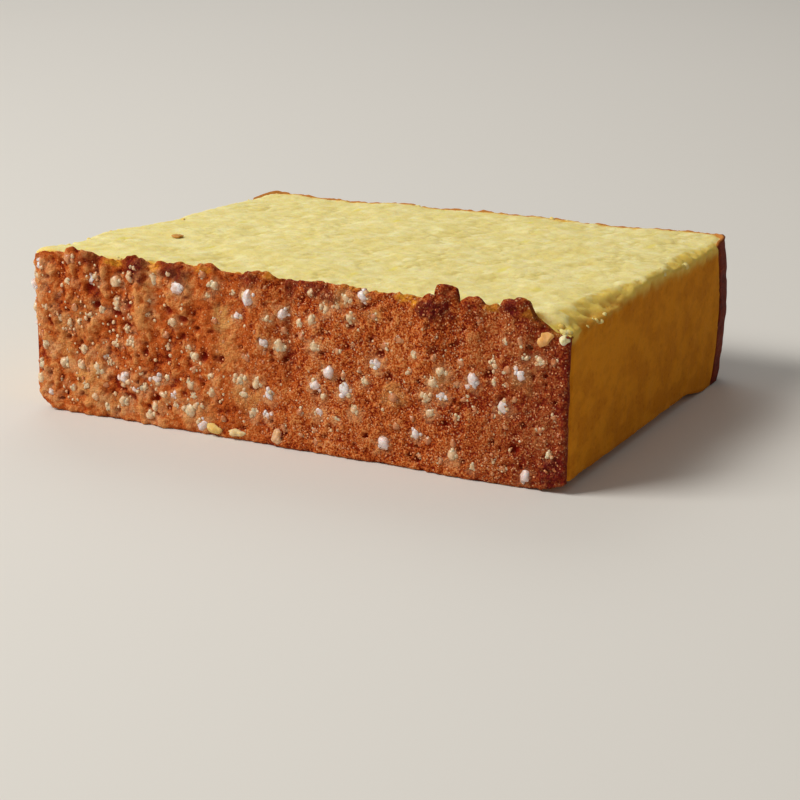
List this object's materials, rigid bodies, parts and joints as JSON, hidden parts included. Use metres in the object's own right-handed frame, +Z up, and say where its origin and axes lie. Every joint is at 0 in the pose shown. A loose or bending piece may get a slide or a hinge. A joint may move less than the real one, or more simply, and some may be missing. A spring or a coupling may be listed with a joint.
{
  "type": "castella sponge cake slice",
  "caption": "Thick slice of castella sponge cake lying on its cut face, with pale yellow crumb, a browned crust set with coarse sugar grains and a thin dark crust opposite.",
  "frame": {"origin": "middle of the slice's box at the base, on the cut face it lies on", "axes": "+X along the sugared crust, -Y out of the sugared crust, +Y out of the dark crust, +Z up out of the upper cut face"},
  "size_m": [0.0965, 0.0782, 0.0299],
  "materials": {
    "sponge_crumb": "matte",
    "sugared_crust": "matte",
    "dark_crust": "matte",
    "sugar_grain": "satin"
  },
  "bodies": {
    "root": {"castella_slice": "sponge_crumb"}
  },
  "joints": []
}
